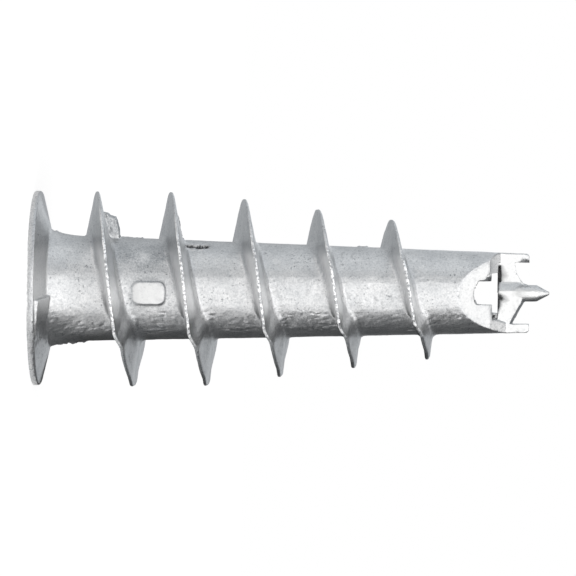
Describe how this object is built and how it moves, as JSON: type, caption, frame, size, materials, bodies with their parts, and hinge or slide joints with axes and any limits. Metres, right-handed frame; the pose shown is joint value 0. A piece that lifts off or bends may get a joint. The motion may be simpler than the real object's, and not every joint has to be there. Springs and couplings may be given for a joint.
{
  "type": "metal hollow wall anchor",
  "caption": "Cast metal self-drilling wall anchor: disc head with a cross recess, hollow tapered body with a wide coarse thread, and a drill point between two prongs.",
  "frame": {"origin": "centre of the head's front face, which is the face that stays outside the wall", "axes": "+Z along the anchor's axis from the head to the drill point; the two halves of the casting die meet on the plane Y = 0"},
  "size_m": [0.014, 0.014, 0.0371],
  "materials": {
    "zinc_casting": "as-cast zinc, matt to satin, bare"
  },
  "bodies": {
    "root": {"anchor_body": "zinc_casting"}
  },
  "joints": []
}
